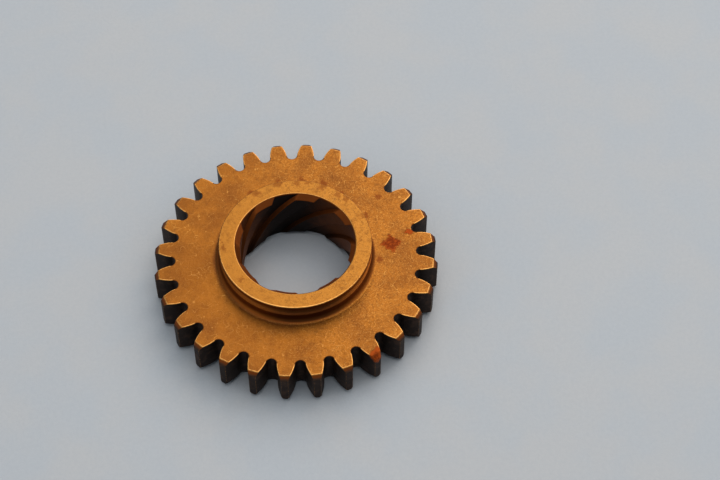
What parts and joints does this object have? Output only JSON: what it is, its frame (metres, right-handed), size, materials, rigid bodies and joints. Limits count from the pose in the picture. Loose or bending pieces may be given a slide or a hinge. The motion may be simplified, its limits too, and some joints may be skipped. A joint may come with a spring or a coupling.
{
  "type": "kick-start spur gear",
  "caption": "Spur gear with a grooved collar and a helically splined bore that lets it screw along its shaft into mesh.",
  "frame": {"origin": "centre of the bore in the plane of the plain face, on which the gear lies", "axes": "+Z along the gear's axis towards the collar, +X through the middle of a tooth"},
  "size_m": [0.06, 0.06, 0.014],
  "materials": {
    "gear_steel": "satin, golden-brown varnish of old oil on hardened steel, brighter on worn edges, spots of rust"
  },
  "bodies": {
    "root": {"spur_gear": "gear_steel"}
  },
  "joints": []
}
